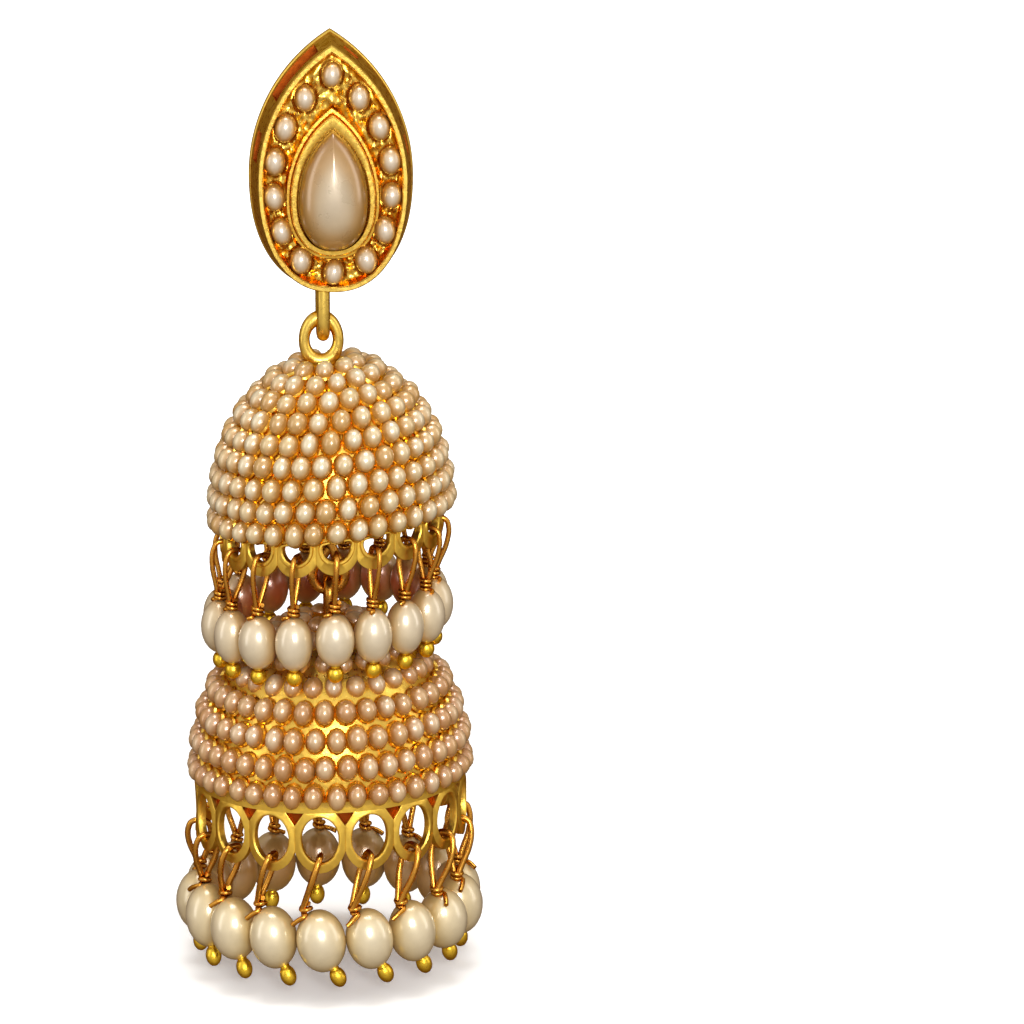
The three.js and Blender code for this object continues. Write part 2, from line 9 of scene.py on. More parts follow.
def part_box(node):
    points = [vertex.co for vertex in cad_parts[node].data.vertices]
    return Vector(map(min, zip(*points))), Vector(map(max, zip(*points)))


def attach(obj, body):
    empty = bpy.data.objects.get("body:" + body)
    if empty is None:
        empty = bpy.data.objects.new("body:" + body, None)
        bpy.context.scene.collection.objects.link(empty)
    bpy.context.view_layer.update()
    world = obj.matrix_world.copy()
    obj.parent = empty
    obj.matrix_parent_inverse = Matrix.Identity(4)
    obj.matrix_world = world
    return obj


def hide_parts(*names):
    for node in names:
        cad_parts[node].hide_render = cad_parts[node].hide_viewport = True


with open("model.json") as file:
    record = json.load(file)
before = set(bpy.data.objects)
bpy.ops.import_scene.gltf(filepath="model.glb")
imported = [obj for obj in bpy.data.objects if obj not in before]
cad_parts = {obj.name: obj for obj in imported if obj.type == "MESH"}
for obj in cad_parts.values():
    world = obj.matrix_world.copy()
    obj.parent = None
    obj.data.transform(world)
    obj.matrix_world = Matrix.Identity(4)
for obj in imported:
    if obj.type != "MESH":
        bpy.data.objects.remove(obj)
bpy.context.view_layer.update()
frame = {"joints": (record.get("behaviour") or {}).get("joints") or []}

# Sizes in millimetres, in the frame's own axes: +Z up, the front faces -Y.
MM = 0.001
JOINTS = {joint["name"]: [value / MM for value in joint["pos_m"]] for joint in frame["joints"]}
DROP_X, DROP_Y, PIVOT_Z = JOINTS["drop_swing"]
LINK_X, LINK_Y, LINK_Z = JOINTS["lower_bell_swing"]

# Ear top: pear-shaped outlines, as half width and reach above and below the level of greatest width.
EAR_LEVEL = -2.0
EAR_FRONT_Y = -4.6
BED_Y = -3.7
BACK = {"half": 7.05, "up": 12.6, "down": 10.0}
FRONT = {"half": 6.4, "up": 11.8, "down": 9.5}
PEAR_SLENDER = 1.787
PEAR_FULL = 2.25
PEAR_QUARTER = 60
APEX_STRETCH = 1.4
CABOCHON_LEVEL = -3.6
CABOCHON = {"half": 2.95, "up": 6.2, "down": 4.2}
CABOCHON_RISE = 2.1
BEZEL = {"half": 3.65, "up": 7.5, "down": 4.75}
BEZEL_Y = -4.85
TOP_PEARLS = 14
TOP_PEARL = (0.95, 1.15, 1.22)
SLOTS = [(-1, 0.15, 5.6, 2.4), (-1, 0.4, 2.6, 1.8), (1, 0.08, 1.6, 0.9), (1, 0.4, 1.8, 0.8)]
SLOT_DEPTH = 2.2
SLOT_Y = -2.5
POST_RADIUS = 0.45
POST_LENGTH = 11.0
STAPLE_RADIUS = 0.57
STAPLE_BEND = 1.65
STAPLE_TOP = -10.9
STAPLE_ASIDE = 0.15

# Ring on the crown of the upper bell.
RING_OUTER = (1.95, 2.65)
RING_HOLE = (0.98, 1.22)
RING_HALF_THICKNESS = 0.6
RING_PLAY = 0.2
RING_SINK = 0.35

# Bells: centre of the lowest row, tip, turn and lean in degrees, line of the pearl centres, rows, rim and
# seed pearls. The highest rows of the lower bell sit deeper, clear of the upper drops.
SCALLOPS = 17
PITCH = 2 * math.pi / SCALLOPS
UPPER = {
    "x": -0.3, "base": -30.7, "tip": 5.5, "turn": 0.0, "lean": 2.5,
    "radius": 10.0, "height": 13.0, "rows": 9, "top_row": 2.7,
    "crown_radius": 2.9, "crown": 12.3, "rim": 9.6, "seed": (0.83, 1.0, 0.9), "seed_pitch": 1.85,
    "sunk_rows": 0, "sink": 0.0,
}
LOWER = {
    "x": -0.6, "base": -53.7, "tip": 1.3, "turn": -7.1, "lean": 0.0,
    "radius": 11.7, "height": 13.5, "rows": 8, "top_row": 2.6,
    "crown_radius": 3.0, "crown": 12.9, "rim": 11.9, "seed": (0.85, 1.05, 0.92), "seed_pitch": 1.84,
    "sunk_rows": 4, "sink": 0.5,
}
GOLD_BEHIND = 0.4
DOME_INNER = 1.05
CROWN_THICKNESS = 0.7
RIM_TOP = -0.6
RIM_WALL = 0.62
UPPER_WINDOW = {"half": 1.2, "top": -0.95, "foot": -2.6}
UPPER_SCALLOP = (1.95, 1.95, -1.9)
LOWER_OPENING = {"half": 1.62, "top": -1.7, "foot": -5.8}
LOWER_GORE = {"half": 0.85, "top": -1.3, "foot": -2.5}
LOWER_SCALLOP = (2.35, 2.95, -3.75)

# Link between the bells.
LINK_WIRE = 0.45
HOOK_BEND = 1.4
EYE_BEND = 1.5
LINK_PLAY = 0.3

# Drops. Slack is for the far left and the far right, drift for the left, the front and the right, and
# lean, in degrees, for the front and the back. Follow is the pearl's share of its wire's lean.
LOOP_OVER_LIP = 0.52
NECK_RADIUS = 0.4
UPPER_DROP = {
    "wire": 0.23, "loop": 4.25, "slack": (0.4, 0.5), "back_lift": 0.9, "back_size": 1.06,
    "drift": (0.55, 0.2, 0.4), "bulge": 0.95,
    "collar": 0.95, "turns": 2.6, "tail": 0.55, "pearl": (1.66, 2.4), "ball": (0.72, 0.8),
    "lean": (0.0, 0.0), "follow": 1.0,
}
LOWER_DROP = {
    "wire": 0.27, "loop": 4.1, "slack": (-0.25, 0.25), "back_lift": 0.0, "back_size": 1.0,
    "drift": (0.0, 0.0, 0.25), "bulge": 1.0,
    "collar": 0.75, "turns": 1.8, "tail": 1.5, "pearl": (2.1, 2.8), "ball": (0.7, 0.95),
    "lean": (24.0, 2.0), "follow": 0.35,
}

# Colours of the pearls: from the back or the base to the outer side. The darker honey and red-brown stops are
# painted shade and gold reflection, the pale stops the nacre itself.
CABOCHON_NACRE_SHADED = [
    (0.0, "#8A5014"), (0.4, "#B07A28"), (0.6, "#BE8C3E"),
    (0.76, "#CFA468"), (0.9, "#DCC29A"), (1.0, "#E0CAA8"),
]
TOP_NACRE_SHADED = [(0.0, "#A4641E"), (0.5, "#BC8438"), (0.72, "#CFA468"), (0.86, "#DEC29C"), (1.0, "#E8D6BE")]
UPPER_NACRE_SHADED = [(0.0, "#D0602A"), (0.36, "#D09A58"), (0.56, "#E4C084"), (0.78, "#EAD4AC"), (1.0, "#EEDCBC")]
LOWER_NACRE_SHADED = [(0.0, "#C88E3C"), (0.36, "#DAB06A"), (0.56, "#E8C884"), (0.78, "#F0DAAA"), (1.0, "#F4E2BC")]
# Painted shade and gold reflection on the drop pearls' ends.
UPPER_PAINTED_ENDS = "#C89A58"
LOWER_PAINTED_ENDS = "#D8B470"
UPPER_TONES = ["#E9D3A8", "#E5CB9A", "#E0C188", "#ECDBB6", "#CFA25A", "#E6CD9E"]
LOWER_TONES = ["#DCB27C", "#D4A468", "#DFBA8A", "#C99254", "#D8AC74", "#E2C298"]
# Painted shade and gold reflection at each seed's foot.
UPPER_SEED_FOOT_SHADE = "#CE9A50"
LOWER_SEED_FOOT_SHADE = "#C08444"

random = np.random.default_rng(17)


# Selection, edit mode and finishing.
def deselect_all():
    bpy.ops.object.select_all(action="DESELECT")


def make_active(piece):
    deselect_all()
    piece.select_set(True)
    bpy.context.view_layer.objects.active = piece


def merged(piece, distance=1e-4):
    """Merges doubles and turns every face outwards."""
    make_active(piece)
    bpy.ops.object.mode_set(mode="EDIT")
    bpy.ops.mesh.select_all(action="SELECT")
    bpy.ops.mesh.remove_doubles(threshold=distance)
    bpy.ops.mesh.normals_make_consistent(inside=False)
    bpy.ops.object.mode_set(mode="OBJECT")
    return piece


def delete_faces(piece, test):
    """Deletes the faces whose centre and normal pass the test."""
    make_active(piece)
    bpy.ops.object.mode_set(mode="EDIT")
    bpy.ops.mesh.select_mode(type="FACE")
    bpy.ops.mesh.select_all(action="DESELECT")
    bpy.ops.object.mode_set(mode="OBJECT")
    for face in piece.data.polygons:
        face.select = test(face.center, face.normal)
    bpy.ops.object.mode_set(mode="EDIT")
    bpy.ops.mesh.delete(type="FACE")
    bpy.ops.mesh.select_mode(type="VERT")
    bpy.ops.object.mode_set(mode="OBJECT")
    return piece


def smoothed(piece, degrees=40):
    make_active(piece)
    bpy.ops.object.shade_smooth_by_angle(angle=math.radians(degrees))
    return piece


def painted(piece, *materials):
    piece.data.materials.clear()
    for material in materials:
        piece.data.materials.append(material)
    return piece


def joined(name, pieces):
    deselect_all()
    for piece in pieces:
        piece.select_set(True)
    bpy.context.view_layer.objects.active = pieces[0]
    bpy.ops.object.join()
    pieces[0].name = name
    pieces[0].data.name = name
    return pieces[0]


def placed_copy(piece, matrix):
    copy = piece.copy()
    copy.data = piece.data.copy()
    bpy.context.scene.collection.objects.link(copy)
    copy.data.transform(matrix)
    return copy


def removed(*pieces):
    for piece in pieces:
        bpy.data.objects.remove(piece)


def handed_over(piece, name, body, slot, *nodes):
    """Brings a finished piece from millimetres to metres, and hangs it on its body."""
    piece.name = name
    piece.data.name = name
    piece.data.transform(Matrix.Scale(MM, 4))
    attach(piece, body)
    if nodes:
        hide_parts(*nodes)
    return piece


# Forming: lofts, turned bodies and wires.
def loft(loops):
    """Grid whose rows are laid on closed loops, with its seam and its poles merged."""
    rows = np.array(loops, float)
    rows = np.concatenate([rows, rows[:, :1]], axis=1)
    deselect_all()
    bpy.ops.mesh.primitive_grid_add(x_subdivisions=rows.shape[1] - 1, y_subdivisions=rows.shape[0] - 1)
    piece = bpy.context.object
    piece.data.vertices.foreach_set("co", rows.ravel())
    return merged(piece)


def turned(profile, steps):
    """Chain of (radius, level) points, extruded one by one and spun about the Z axis."""
    points = [Vector((radius, 0, level)) for radius, level in profile]
    deselect_all()
    bpy.ops.mesh.primitive_plane_add(size=1)
    piece = bpy.context.object
    bpy.ops.object.mode_set(mode="EDIT")
    bpy.ops.mesh.merge(type="CENTER")
    bpy.ops.transform.translate(value=points[0])
    for before, after in zip(points, points[1:]):
        bpy.ops.mesh.extrude_vertices_move(TRANSFORM_OT_translate={"value": after - before})
    bpy.ops.mesh.select_all(action="SELECT")
    bpy.ops.mesh.spin(steps=steps, angle=2 * math.pi, center=(0, 0, 0), axis=(0, 0, 1))
    bpy.ops.object.mode_set(mode="OBJECT")
    return merged(piece)


def wire(points, radius, around=3, along=5):
    """Round wire along a smooth curve through the points."""
    deselect_all()
    bpy.ops.curve.primitive_bezier_curve_add()
    piece = bpy.context.object
    curve = piece.data
    curve.splines.clear()
    spline = curve.splines.new("BEZIER")
    spline.bezier_points.add(len(points) - 1)
    for knot, point in zip(spline.bezier_points, points):
        knot.co = point
        knot.handle_left_type = "AUTO"
        knot.handle_right_type = "AUTO"
    curve.dimensions = "3D"
    curve.resolution_u = along
    curve.bevel_depth = radius
    curve.bevel_resolution = around
    curve.use_fill_caps = True
    bpy.ops.object.convert(target="MESH")
    return merged(bpy.context.object)


# Colours and materials.
def linear(hex_colour):
    """sRGB hex to linear red, green, blue and alpha."""
    parts = [int(hex_colour[i:i + 2], 16) / 255 for i in (1, 3, 5)]
    return [c / 12.92 if c <= 0.04045 else ((c + 0.055) / 1.055) ** 2.4 for c in parts] + [1.0]


def add_node(tree, kind, settings=None, links=None):
    """Adds a node, sets its values and links its inputs."""
    node = tree.nodes.new(kind)
    for name, value in (settings or {}).items():
        if name == "stops":
            ramp = node.color_ramp
            while len(ramp.elements) < len(value):
                ramp.elements.new(0.5)
            for element, (position, colour) in zip(ramp.elements, value):
                element.position = position
                element.color = linear(colour)
        elif name in node.inputs:
            node.inputs[name].default_value = value
        else:
            setattr(node, name, value)
    for name, source in (links or {}).items():
        tree.links.new(source, node.inputs[name])
    return node


def new_material(name, settings):
    material = bpy.data.materials.new(name)
    material.use_nodes = True
    tree = material.node_tree
    tree.nodes.clear()
    shader = add_node(tree, "ShaderNodeBsdfPrincipled", settings)
    add_node(tree, "ShaderNodeOutputMaterial", links={"Surface": shader.outputs["BSDF"]})
    return material, tree, shader


def gold(name, stops, roughness, grain, relief, reach=0.9):
    """Gold, darker in its recesses as painted shade from ambient occlusion: roughness, grain and reach of the
    recesses in mm, relief of the grain.
    """
    material, tree, shader = new_material(name, {"Metallic": 1.0, "Specular Tint": linear("#E8B45A")})
    place = add_node(tree, "ShaderNodeTexCoord")
    # Painted shade: ambient occlusion picks the colour, the first stop in recesses and between parts, the
    # last where open.
    opening = add_node(tree, "ShaderNodeAmbientOcclusion", {"samples": 6, "Distance": reach * MM})
    tone = add_node(tree, "ShaderNodeValToRGB", {"stops": stops}, {"Fac": opening.outputs["AO"]})
    grit = add_node(
        tree, "ShaderNodeTexNoise", {"Scale": 1 / (grain * MM), "Detail": 4.0},
        {"Vector": place.outputs["Object"]},
    )
    shine = add_node(
        tree, "ShaderNodeMapRange",
        {"From Min": 0.3, "From Max": 0.7, "To Min": 0.75 * roughness, "To Max": 1.3 * roughness},
        {"Value": grit.outputs["Fac"]},
    )
    bump = add_node(
        tree, "ShaderNodeBump", {"Strength": relief, "Distance": 0.2 * grain * MM},
        {"Height": grit.outputs["Fac"]},
    )
    tree.links.new(tone.outputs["Color"], shader.inputs["Base Color"])
    tree.links.new(shine.outputs["Result"], shader.inputs["Roughness"])
    tree.links.new(bump.outputs["Normal"], shader.inputs["Normal"])
    return material


def nacre(name, roughness, lump, relief, depth):
    """Pearl in the colours of the piece's own attribute: cloudy lumps in mm, their relief, depth of tone."""
    settings = {"Metallic": 0.25, "IOR": 1.65, "Coat Weight": 1.0, "Coat Roughness": 0.2, "Coat IOR": 1.8}
    material, tree, shader = new_material(name, settings)
    place = add_node(tree, "ShaderNodeTexCoord")
    colour = add_node(tree, "ShaderNodeAttribute", {"attribute_name": "nacre"})
    cloud = add_node(
        tree, "ShaderNodeTexNoise", {"Scale": 1 / (lump * MM), "Detail": 3.0},
        {"Vector": place.outputs["Object"]},
    )
    shade = add_node(
        tree, "ShaderNodeMapRange",
        {"From Min": 0.3, "From Max": 0.7, "To Min": 0.94 * depth, "To Max": 1.06 * depth},
        {"Value": cloud.outputs["Fac"]},
    )
    tint = add_node(
        tree, "ShaderNodeHueSaturation",
        links={"Color": colour.outputs["Color"], "Value": shade.outputs["Result"]},
    )
    shine = add_node(
        tree, "ShaderNodeMapRange",
        {"From Min": 0.3, "From Max": 0.7, "To Min": 0.85 * roughness, "To Max": 1.2 * roughness},
        {"Value": cloud.outputs["Fac"]},
    )
    bump = add_node(
        tree, "ShaderNodeBump", {"Strength": relief, "Distance": 0.1 * lump * MM},
        {"Height": cloud.outputs["Fac"]},
    )
    tree.links.new(tint.outputs["Color"], shader.inputs["Base Color"])
    tree.links.new(shine.outputs["Result"], shader.inputs["Roughness"])
    tree.links.new(bump.outputs["Normal"], shader.inputs["Normal"])
    return material


# Polished yellow gold of the wall, bezel, staple and ring: soft, broad glints on a slightly worn skin.
polished_gold = gold(
    "polished_gold", [(0.0, "#D49A3C"), (0.35, "#E6B646"), (0.75, "#F0C650"), (1.0, "#F6D064")],
    0.3, 0.5, 0.12, 0.5,
)
# Chased gold of the bed between the top pearls: sparkling grains and prongs over reddish painted shade in the
# recesses.
chased_gold = gold(
    "chased_gold", [(0.0, "#C27E26"), (0.4, "#E0A83C"), (0.8, "#EEBE4C"), (1.0, "#F6CC60")],
    0.28, 0.35, 0.3, 0.5,
)
# Satin gold of the pierced rims: sawn and filed by hand, so its glints are wide and a little grainy.
satin_gold = gold(
    "satin_gold", [(0.0, "#B87422"), (0.35, "#E0AE3C"), (0.7, "#EEC24A"), (1.0, "#F4CA56")],
    0.38, 0.3, 0.25, 0.5,
)
# Gold web of the domes, pushed up round the seed pearls: warm lines that shine between the rows.
web_gold = gold(
    "web_gold", [(0.0, "#C88834"), (0.3, "#E0AC44"), (0.7, "#EEC050"), (1.0, "#F6CC60")],
    0.3, 0.4, 0.3, 0.5,
)
# Drawn wire of a coppery gold: darker and redder than the castings, with a thin line of light along it.
copper_gold = gold(
    "copper_gold_wire", [(0.0, "#6E2E0A"), (0.4, "#B8701E"), (1.0, "#D89A3E")], 0.28, 0.4, 0.1, 0.6,
)
# Gold balls with a fine grain: a bright yellow spot that breaks up at its edge.
grained_gold = gold(
    "grained_gold", [(0.0, "#A86A12"), (0.5, "#DFAA2A"), (1.0, "#F2C83E")], 0.32, 0.2, 0.6, 0.4,
)
# Inside of the domes: dull red-brown painted shade for the dim light there, as the gold only mirrors itself.
shaded_inside_gold = gold(
    "gold_inside_painted_shade", [(0.0, "#8A2208"), (0.6, "#B04010"), (1.0, "#C05A1C")], 0.45, 0.6, 0.4,
)
# Inside of the cut slots and of the gores: dark red-brown painted shade.
slot_shade_gold = gold("slot_painted_shade", [(0.0, "#5A1C06"), (1.0, "#A04A14")], 0.5, 0.5, 0.3)
# Seed pearls: satin nacre with a small soft spot of light, and honey-coloured sides painted in as shade and
# gold reflection.
seed_nacre = nacre("seed_pearl_nacre", 0.34, 0.6, 0.08, 0.8)
# Drop pearls: smooth cream nacre, a clear highlight over a wide soft sheen.
drop_nacre = nacre("drop_pearl_nacre", 0.33, 1.2, 0.04, 0.76)
# Centre pearl: the smoothest nacre, with a long highlight and darker honey painted round its foot as shade
# and gold reflection.
cabochon_nacre = nacre("cabochon_nacre", 0.29, 1.5, 0.04, 0.66)


def set_nacre(piece, colours):
    """Keeps a colour for each vertex in the piece's own attribute."""
    attribute = piece.data.color_attributes.new("nacre", "FLOAT_COLOR", "POINT")
    attribute.data.foreach_set("color", np.asarray(colours, np.float32).ravel())
    return piece


def blend_colours(stops, shares):
    """Linear colours for shares between 0 and 1, along a few hex stops."""
    places = [place for place, colour in stops]
    table = np.array([linear(colour) for place, colour in stops])
    return np.stack([np.interp(shares, places, table[:, i]) for i in range(4)], axis=-1)


# Pear-shaped outlines.
def pear_unit(quarter):
    sweep = (PEAR_SLENDER ** 2 + 1) / 2
    top = math.asin(PEAR_SLENDER / sweep)
    side = []
    for i in range(quarter):
        angle = top * (1 - i / quarter)
        side.append((1 - sweep + sweep * math.cos(angle), sweep * math.sin(angle) / PEAR_SLENDER))
    power = 2 / PEAR_FULL
    for i in range(quarter + 1):
        angle = math.pi / 2 * i / quarter
        side.append((abs(math.cos(angle)) ** power, -math.sin(angle) ** power))
    side[0] = (0.0, 1.0)
    side[-1] = (0.0, -1.0)
    return side + [(-x, z) for x, z in side[-2:0:-1]]


PEAR = pear_unit(PEAR_QUARTER)


def inset(outline, amount):
    return {
        "half": outline["half"] - amount,
        "up": outline["up"] - amount * APEX_STRETCH,
        "down": outline["down"] - amount,
    }


def pear_loop(outline, y, level, share=1.0):
    points = []
    for x, z in PEAR:
        reach = outline["up"] if z > 0 else outline["down"]
        points.append((share * outline["half"] * x, y, level + share * reach * z))
    return points


# Ear top.
def top_pearl_centres():
    centres = []
    for i in range(TOP_PEARLS):
        low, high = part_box(f"top_pearl_{i + 1:02d}")
        middle = (low + high) / 2 / MM
        centres.append((middle.x, middle.z))
    return centres


def bed_height(x, z, centres):
    """Height of the chased bed: a ragged lip round each pearl, grains and prongs between them."""
    nearest = min(
        math.hypot((x - cx) / TOP_PEARL[0], (z - cz) / TOP_PEARL[2]) for cx, cz in centres
    )
    grain = noise.noise(Vector((x, 0, z)) / 0.42)
    ridge = 1 - 2 * abs(noise.noise(Vector((x, 5, z)) / 0.75))
    lip = math.exp(-((nearest - 1.2) / 0.16) ** 2)
    between = min(max((nearest - 1.1) / 0.35, 0), 1)
    blob = math.exp(-((x - 0.3) ** 2 + (z - 4.6) ** 2) / 0.35)
    return 0.30 * lip * (0.7 + 0.6 * grain) + between * (0.34 * max(ridge, 0) + 0.14 * grain) + 0.6 * blob


def ear_case():
    centres = top_pearl_centres()
    level = EAR_LEVEL
    pole = [(0.0, 0.0, level)] * len(PEAR)
    loops = [
        pole,
        pear_loop(inset(BACK, 0.3), 0.0, level),
        pear_loop(inset(BACK, 0.06), -0.05, level),
        pear_loop(BACK, -0.25, level),
        pear_loop(BACK, -0.62, level),
        pear_loop(inset(BACK, 0.05), -0.72, level),
        pear_loop(inset(BACK, 0.14), -0.8, level),
        pear_loop(inset(BACK, 0.2), -1.1, level),
        pear_loop(inset(FRONT, -0.02), -4.2, level),
        pear_loop(inset(FRONT, 0.0), -4.45, level),
        pear_loop(inset(FRONT, 0.1), EAR_FRONT_Y, level),
        pear_loop(inset(FRONT, 0.38), EAR_FRONT_Y, level),
        pear_loop(inset(FRONT, 0.48), -4.5, level),
        pear_loop(inset(FRONT, 0.55), BED_Y - 0.2, level),
    ]
    edge = np.array(pear_loop(inset(FRONT, 0.6), BED_Y, level))
    ledge = inset(BEZEL, -0.34)
    foot = np.array(pear_loop(ledge, BED_Y, CABOCHON_LEVEL))
    steps = 22
    for i in range(steps + 1):
        share = i / steps
        ring = edge * (1 - share) + foot * share
        fade = min(share, 1 - share, 0.12) / 0.12
        loops.append([(x, y - fade * bed_height(x, z, centres), z) for x, y, z in ring])
    loops += [
        pear_loop(ledge, -4.0, CABOCHON_LEVEL),
        pear_loop(inset(ledge, 0.06), -4.08, CABOCHON_LEVEL),
        pear_loop(inset(BEZEL, -0.08), -4.1, CABOCHON_LEVEL),
        pear_loop(inset(BEZEL, 0.0), -4.02, CABOCHON_LEVEL),
        pear_loop(inset(BEZEL, 0.04), BEZEL_Y + 0.14, CABOCHON_LEVEL),
        pear_loop(inset(BEZEL, 0.16), BEZEL_Y, CABOCHON_LEVEL),
        pear_loop(inset(BEZEL, 0.5), BEZEL_Y - 0.02, CABOCHON_LEVEL),
        pear_loop(inset(CABOCHON, -0.05), BEZEL_Y + 0.1, CABOCHON_LEVEL),
        pear_loop(inset(CABOCHON, 0.0), BEZEL_Y + 0.5, CABOCHON_LEVEL),
        [(0.0, BEZEL_Y + 0.5, CABOCHON_LEVEL)] * len(PEAR),
    ]
    return painted(loft(loops), polished_gold, chased_gold, slot_shade_gold)


def gild_bed(case):
    """Gives the chased finish to the faces of the bed."""
    inner = inset(FRONT, 0.55)
    for face in case.data.polygons:
        x, y, z = face.center
        reach = inner["up"] if z > EAR_LEVEL else inner["down"]
        inside = abs(x) < inner["half"] and abs(z - EAR_LEVEL) < reach
        if inside and BED_Y - 1.2 < y < BED_Y + 0.02 and face.normal.y < 0.3 and face.area < 0.12:
            face.material_index = 1


def cut_slots(case):
    half = PEAR[:2 * PEAR_QUARTER + 1]
    middle = inset(BACK, 0.35)
    for side, place, length, height in SLOTS:
        at = int(place * (len(half) - 1))
        (x0, z0), (x1, z1) = half[at], half[at + 1]
        up0, up1 = (middle["up"] if z > 0 else middle["down"] for z in (z0, z1))
        x, z = middle["half"] * x0, up0 * z0
        slope = math.atan2(up1 * z1 - z, middle["half"] * x1 - x)
        deselect_all()
        bpy.ops.mesh.primitive_cube_add(size=1)
        # The cutter hands its dark red-brown painted shade to the walls it cuts.
        cutter = painted(bpy.context.object, slot_shade_gold)
        cutter.scale = (length, height, SLOT_DEPTH)
        cutter.rotation_euler = (0, -slope * side, 0)
        cutter.location = (x * side, SLOT_Y, z + EAR_LEVEL)
        bpy.ops.object.transform_apply(location=True, rotation=True, scale=True)
        make_active(case)
        cut = case.modifiers.new("slot", "BOOLEAN")
        cut.operation = "DIFFERENCE"
        cut.solver = "EXACT"
        cut.material_mode = "TRANSFER"
        cut.object = cutter
        bpy.ops.object.modifier_apply(modifier=cut.name)
        removed(cutter)


def staple():
    bend_z = PIVOT_Z + STAPLE_BEND
    x = DROP_X + STAPLE_ASIDE
    points = [Vector((x, DROP_Y + STAPLE_BEND, STAPLE_TOP))]
    for i in range(9):
        angle = math.pi * i / 8
        y = DROP_Y + STAPLE_BEND * math.cos(angle)
        points.append(Vector((x, y, bend_z - STAPLE_BEND * math.sin(angle))))
    points.append(Vector((x, DROP_Y - STAPLE_BEND, STAPLE_TOP)))
    return painted(wire(points, STAPLE_RADIUS, around=4), polished_gold)


def ear_post():
    groove = POST_LENGTH - 1.6
    profile = [
        (0, -0.2), (1.1, -0.2), (1.1, 0.15), (0.9, 0.3), (POST_RADIUS, 0.5), (POST_RADIUS, groove - 0.3),
        (0.75 * POST_RADIUS, groove), (POST_RADIUS, groove + 0.3), (POST_RADIUS, POST_LENGTH - 0.3),
        (0.5 * POST_RADIUS, POST_LENGTH), (0, POST_LENGTH),
    ]
    post = turned(profile, 20)
    post.data.transform(Matrix.Rotation(-math.pi / 2, 4, "X"))
    return painted(post, polished_gold)


def make_ear_top():
    case = ear_case()
    gild_bed(case)
    cut_slots(case)
    piece = joined("ear_top_gold", [case, staple(), ear_post()])
    smoothed(piece, 35)
    handed_over(piece, "ear_top_gold", "ear_stud", "gold", "ear_top")


def make_centre_pearl():
    loops = [
        [(0.0, BEZEL_Y + 0.5, CABOCHON_LEVEL)] * len(PEAR),
        pear_loop(inset(CABOCHON, 0.1), BEZEL_Y + 0.5, CABOCHON_LEVEL),
        pear_loop(inset(CABOCHON, 0.03), BEZEL_Y + 0.1, CABOCHON_LEVEL),
    ]
    steps = 16
    for i in range(steps + 1):
        angle = math.pi / 2 * i / steps
        y = BEZEL_Y - CABOCHON_RISE * math.sin(angle)
        loops.append(pear_loop(inset(CABOCHON, 0.03), y, CABOCHON_LEVEL, max(math.cos(angle), 0.0)))
    piece = smoothed(painted(loft(loops), cabochon_nacre), 60)
    # Painted shade and gold reflection: honey at the foot of the dome, pale cream at its top.
    rise = np.array([(BEZEL_Y - vertex.co.y) / CABOCHON_RISE for vertex in piece.data.vertices])
    set_nacre(piece, blend_colours(CABOCHON_NACRE_SHADED, np.clip(rise, 0, 1)))
    handed_over(piece, "centre_pearl_nacre", "ear_stud", "cabochon_pearl", "centre_pearl")


def oval_pearl(half, segments, rings):
    """Oval pearl about the origin, from a sphere with its poles on the Z axis."""
    deselect_all()
    bpy.ops.mesh.primitive_uv_sphere_add(segments=segments, ring_count=rings, radius=1)
    pearl = bpy.context.object
    bpy.ops.object.mode_set(mode="EDIT")
    bpy.ops.mesh.select_all(action="SELECT")
    bpy.ops.transform.resize(value=half)
    bpy.ops.object.mode_set(mode="OBJECT")
    return pearl


def make_top_pearls():
    for i, (x, z) in enumerate(top_pearl_centres()):
        pearl = smoothed(painted(oval_pearl(TOP_PEARL, 24, 16), seed_nacre), 80)
        # Painted shade and gold reflection: honey where the pearl sits in the bed, cream at its front.
        height = np.array([0.5 - vertex.co.y / TOP_PEARL[1] / 2 for vertex in pearl.data.vertices])
        set_nacre(pearl, blend_colours(TOP_NACRE_SHADED, np.clip(2 * height - 1, 0, 1)))
        turn = Matrix.Rotation(math.radians(random.uniform(-12, 12)), 4, "Y")
        size = Matrix.Scale(random.uniform(0.95, 1.04), 4)
        pearl.data.transform(Matrix.Translation((x, BED_Y - 0.2, z)) @ turn @ size)
        node = f"top_pearl_{i + 1:02d}"
        handed_over(pearl, f"{node}_nacre", "ear_stud", "seed_pearl", node)


# Bells: seed pearls.
def row_angles(bell):
    """Angles up the line of pearl centres for rows at equal steps along it."""
    last = math.acos(bell["top_row"] / bell["radius"])
    fine = np.linspace(0, last, 2001)
    step = np.hypot(bell["radius"] * np.sin(fine), bell["height"] * np.cos(fine))
    lengths = np.concatenate([[0], np.cumsum((step[1:] + step[:-1]) / 2)])
    return np.interp(np.linspace(0, lengths[-1], bell["rows"]), lengths, fine)


def dome_point(bell, angle, out):
    return (bell["radius"] + out) * math.cos(angle), (bell["height"] + out) * math.sin(angle)


def bell_place(bell):
    """From the upright bell about its own centre to its place: the rows and the rim slant."""
    slant = Matrix.Identity(4)
    slant[2][0] = math.tan(math.radians(bell["tip"]))
    return Matrix.Translation((bell["x"], DROP_Y, bell["base"])) @ slant


def dome_lean(bell, level):
    """How far the dome leans to the left at a level above its lowest row."""
    return Vector((-math.tan(math.radians(bell["lean"])) * max(level, 0), 0, 0))


